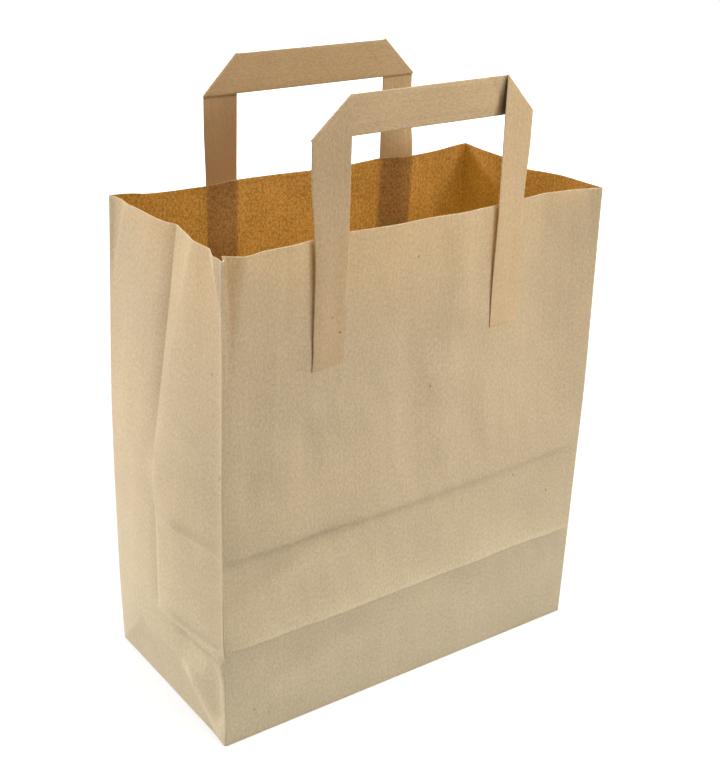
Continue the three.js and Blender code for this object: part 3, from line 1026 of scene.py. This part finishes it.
def kraft(name, dark, light, glow=None, through_share=0.0, upright=True, grain=2.0, cloudy=0.7,
          mottled=0.0, wear_and_painted_light_share=0.7, wear_and_painted_light_colour=(0.76, 0.64, 0.44), painted_floor_sheen=None, thinness=(0.9, 1.1)):
    """Unbleached paper: cloudy formation, fibres along the machine direction, grain and flecks.

    An attribute turns it towards a second colour: scuffing with a painted highlight on the
    outer folds, painted shade beside the inner folds and on the tapes. A share of the light
    comes through it in the glow's colour.
    """
    n = Nodes(bpy.data.materials.new(name))
    sheet = n.attribute("sheet").outputs["Vector"]

    def drawn_out(share):
        return n.stretch(sheet, (1, share, 1) if upright else (share, 1, 1))

    clouds = n.noise(sheet, CLOUDS, 4, 0.6)
    fibres = n.noise(drawn_out(FIBRE_SHARE), FIBRES, 3, 0.65)
    streaks = n.noise(drawn_out(STREAK_SHARE), STREAKS, 2, 0.6)
    specks = n.noise(sheet, SPECKS, 2, 0.6)
    tone = n.math("MULTIPLY_ADD", clouds, 0.9, -0.45)
    fine = n.math("ADD", n.span(fibres, 0.3, 0.7, -0.5, 0.5), n.span(specks, 0.3, 0.7, -0.4, 0.4))
    fine = n.math("ADD", fine, n.span(streaks, 0.3, 0.7, -0.1, 0.1))
    level = n.math("ADD", n.math("MULTIPLY", tone, cloudy), n.math("MULTIPLY", fine, 0.42 * grain))
    if mottled:
        blots = n.span(n.noise(sheet, BLOTS, 3, 0.6), 0.35, 0.65, -0.5, 0.5)
        level = n.math("ADD", level, n.math("MULTIPLY", blots, mottled))
    mixed = n.math("ADD", level, 0.5, clamp=True)
    colour = n.mix(mixed, (*dark, 1), (*light, 1))
    # Paler and bluer towards the ground: a painted sheen of the white floor
    if painted_floor_sheen:
        height = n.add("ShaderNodeSeparateXYZ", {0: sheet}).outputs[1]
        with_painted_sheen = n.mix(1.0, colour, (*painted_floor_sheen, 1), "MULTIPLY")
        colour = n.mix(n.span(height, 0.0, PAINTED_SHEEN_HEIGHT, 1.0, 0.0, soft=True), colour, with_painted_sheen)
    fleck_place = n.stretch(sheet, (1, FLECK_SHARE, 1))
    flecks = n.add("ShaderNodeTexVoronoi", {"Vector": fleck_place, "Scale": FLECKS})
    near = n.span(flecks.outputs["Distance"], 0.05, 0.075, 1.0, 0.0)
    chosen = n.add("ShaderNodeSeparateColor", {0: flecks.outputs["Color"]}).outputs[0]
    fleck = n.math("MULTIPLY", near, n.span(chosen, 0.86, 0.9, 0.0, 0.75))
    colour = n.mix(fleck, colour, FLECK_COLOUR)
    # Second colour: scuffing with a painted highlight on the outer folds, painted shade on the
    # inner folds and on the tapes
    crease = n.attribute("crease").outputs["Fac"]
    colour = n.mix(n.math("MULTIPLY", crease, wear_and_painted_light_share), colour, (*wear_and_painted_light_colour, 1))
    bump_height = n.math("ADD", fine, n.math("MULTIPLY", clouds, 1.2))
    relief = {"Strength": GRAIN_STRENGTH, "Distance": GRAIN_DEPTH, "Height": bump_height}
    skin = {
        "Base Color": colour,
        "Roughness": ROUGHNESS,
        "Specular IOR Level": SPECULAR,
        "Normal": n.add("ShaderNodeBump", relief).outputs[0],
    }
    paper = n.add("ShaderNodeBsdfPrincipled", skin)
    if not through_share:
        return n.output(paper)
    thin = n.span(mixed, 0.1, 0.9, *thinness)
    shade = n.add("ShaderNodeCombineColor", {0: thin, 1: thin, 2: thin}).outputs[0]
    sent = n.add("ShaderNodeBsdfTranslucent", {"Color": n.mix(1.0, (*glow, 1), shade, "MULTIPLY")})
    shares = {0: through_share, 1: paper.outputs[0], 2: sent.outputs[0]}
    return n.output(n.add("ShaderNodeMixShader", shares))


def plain_paper(name, base):
    """The fibres in the cut edge of the sheet, lighter than its face, partly as a painted
    highlight along the rim.
    """
    n = Nodes(bpy.data.materials.new(name))
    sheet = n.attribute("sheet").outputs["Vector"]
    level = n.span(n.noise(sheet, FIBRES, 3, 0.6), 0.3, 0.7, 0.0, 1.0)
    colour = n.mix(level, tuple(0.85 * c for c in base) + (1,), tuple(base) + (1,))
    return n.output(n.add("ShaderNodeBsdfPrincipled", {"Base Color": colour, "Roughness": 0.8}))


outer_kraft = kraft(
    "bag_kraft_outer", (0.500, 0.394, 0.233), (0.650, 0.530, 0.332),
    glow=(0.80, 0.63, 0.32), through_share=0.25,
    grain=2.2, mottled=0.16, painted_floor_sheen=(0.98, 1.025, 1.08),
)
# The inside: the same paper, its colours painted darker and more orange for the glow and shade of
# light coming through it
inner_kraft_painted_glow = kraft(
    "bag_kraft_inner_painted_glow", (0.285, 0.144, 0.028), (0.55, 0.374, 0.132),
    glow=(0.85, 0.5, 0.09), through_share=0.55, thinness=(0.72, 1.28),
    grain=2.4, cloudy=0.9, mottled=0.4, wear_and_painted_light_share=0.9, wear_and_painted_light_colour=(0.27, 0.085, 0.010),
)
# The cut edge: lighter than the face, partly its own fibres and partly a painted highlight along
# the rim
edge_and_highlight = plain_paper("bag_edge_and_painted_highlight", (0.74, 0.62, 0.44))
tape_front = kraft(
    "front_tape", (0.475, 0.325, 0.164), (0.675, 0.470, 0.248),
    upright=False, wear_and_painted_light_share=0.9, wear_and_painted_light_colour=(0.15, 0.093, 0.040),
)
# The back tape: the same tape as the front one, its colours painted darker as shade
tape_back_painted_shade = kraft(
    "back_tape", (0.42, 0.280, 0.122), (0.60, 0.410, 0.202),
    upright=False, wear_and_painted_light_share=0.9, wear_and_painted_light_colour=(0.29, 0.132, 0.036),
)

bag = build_bag(outer_kraft, inner_kraft_painted_glow, edge_and_highlight)
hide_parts("bag_body")
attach(bag, "root")

for node, facts in HANDLES.items():
    paint = tape_front if facts["side"] < 0 else tape_back_painted_shade
    painted_gap_shade = FRONT_PAINTED_GAP_SHADE if facts["side"] < 0 else None
    stations = with_lengths(handle_stations(**facts), PAINTED_TAPE_SHADE[node])
    piece = tape(node.replace("handle", "tape"), stations, paint, painted_gap_shade)
    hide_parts(node)
    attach(piece, "root")


# Camera, from the photograph's vanishing points
IMAGE_WIDTH, IMAGE_HEIGHT = 720, 769
FOCAL_PIXELS = 1365.1
CAMERA_AT = (-378.58, -520.8, 437.7)
SENSOR_WIDTH = 36
CLIP_START, CLIP_END = 0.01, 20
AZIMUTH, ELEVATION, ROLL = (math.radians(a) for a in (-36.24, 24.28, 2.06))


def make_camera():
    data = bpy.data.cameras.new("camera")
    data.sensor_width = SENSOR_WIDTH
    data.lens = FOCAL_PIXELS * SENSOR_WIDTH / max(IMAGE_WIDTH, IMAGE_HEIGHT)
    data.clip_start, data.clip_end = CLIP_START, CLIP_END
    back = Vector((
        math.sin(AZIMUTH) * math.cos(ELEVATION),
        -math.cos(AZIMUTH) * math.cos(ELEVATION),
        math.sin(ELEVATION),
    ))
    right = Vector((math.cos(AZIMUTH), math.sin(AZIMUTH), 0))
    up = back.cross(right)
    turned_right = right * math.cos(ROLL) + up * math.sin(ROLL)
    turned_up = up * math.cos(ROLL) - right * math.sin(ROLL)
    camera = bpy.data.objects.new("camera", data)
    matrix = Matrix((turned_right, turned_up, back)).transposed().to_4x4()
    matrix.translation = Vector(CAMERA_AT) * MM
    camera.matrix_world = matrix
    bpy.context.scene.collection.objects.link(camera)
    bpy.context.scene.camera = camera


# Lamps, in metres and watts: where each stands and aims, its size and power, and the cone of a
# spot in degrees
LAMPS = {
    "left_rear": dict(at=(-1.3, 0.75, 0.95), aim=(0, 0, 0.1), size=(0.5, 0.6), power=15),
    "left_low": dict(at=(-1.3, 0.7, 0.75), aim=(-0.1, 0.03, 0.0), size=0.2, power=94, cone=24),
    "back": dict(at=(0.2, 1.5, 0.6), aim=(0, 0, 0.15), size=(1.4, 0.9), power=20),
    "right_front": dict(at=(0.75, -0.75, 1.35), aim=(0, 0, 0.1), size=(0.5, 0.5), power=5),
    "front_low": dict(at=(0.6, -0.85, 1.1), aim=(0.0, -0.1, -0.03), size=0.2, power=90, cone=26),
    "overhead": dict(at=(-0.15, -0.3, 1.0), aim=(-0.1, -0.12, 0), size=(0.5, 0.5), power=2),
    "right_rear": dict(at=(1.5, 0.5, 0.6), aim=(0.1, 0, 0.15), size=(0.5, 0.5), power=24),
    "fill": dict(at=(0.3, -1.5, 0.8), aim=(0, 0, 0.1), size=(0.6, 0.6), power=6.4),
}


def make_lamp(name, at, aim, size, power, cone=None):
    data = bpy.data.lights.new(name, "SPOT" if cone else "AREA")
    data.energy = power
    if cone:
        data.spot_size = math.radians(cone)
        data.spot_blend = 1.0
        data.shadow_soft_size = size
    else:
        data.shape = "RECTANGLE"
        data.size, data.size_y = size
    light = bpy.data.objects.new(name, data)
    light.location = at
    light.rotation_euler = (Vector(aim) - Vector(at)).to_track_quat("-Z", "Y").to_euler()
    bpy.context.scene.collection.objects.link(light)


# The floor shines where the camera sees it: less near the bag, so that the shadow shows there,
# and up to white between two distances from it, in metres
FLOOR_GREY = 0.4
NEAR_FLOOR = 0.52
FLOOR_FADE = (0.3, 0.9)
WORLD_LIGHT = 0.1

# From the middle of the floor to its edges, in millimetres
FLOOR_REACH = 3000


def make_floor():
    n = Nodes(bpy.data.materials.new("floor"))
    plain = n.add("ShaderNodeBsdfDiffuse", {"Color": grey(FLOOR_GREY)}).outputs[0]
    place = n.add("ShaderNodeTexCoord").outputs["Object"]
    away = n.add("ShaderNodeVectorMath", {0: place}, operation="LENGTH").outputs["Value"]
    strength = n.span(away, *FLOOR_FADE, NEAR_FLOOR, 1.0)
    shine = n.add("ShaderNodeEmission", {"Color": grey(1.0), "Strength": strength})
    lit = n.add("ShaderNodeAddShader", {0: plain, 1: shine.outputs[0]})
    material = n.output(n.add("ShaderNodeMixShader", {0: n.seen(), 1: plain, 2: lit.outputs[0]}))
    far = FLOOR_REACH
    corners = [(-far, -far, 0), (far, -far, 0), (far, far, 0), (-far, far, 0)]
    floor = mesh_piece("floor", corners, [(0, 1, 2, 3)], [material])


def make_world():
    """White where it is seen, and dim as a light."""
    world = bpy.data.worlds.new("studio")
    bpy.context.scene.world = world
    n = Nodes(world)
    light = n.add("ShaderNodeBackground", {"Color": grey(1.0), "Strength": WORLD_LIGHT})
    white = n.add("ShaderNodeBackground", {"Color": grey(1.0), "Strength": 1.0})
    mix = n.add("ShaderNodeMixShader", {0: n.seen(), 1: light.outputs[0], 2: white.outputs[0]})
    n.output(mix, "ShaderNodeOutputWorld")


make_camera()
make_world()
make_floor()
for name, facts in LAMPS.items():
    make_lamp(name, **facts)
bpy.context.scene.view_settings.view_transform = "Standard"
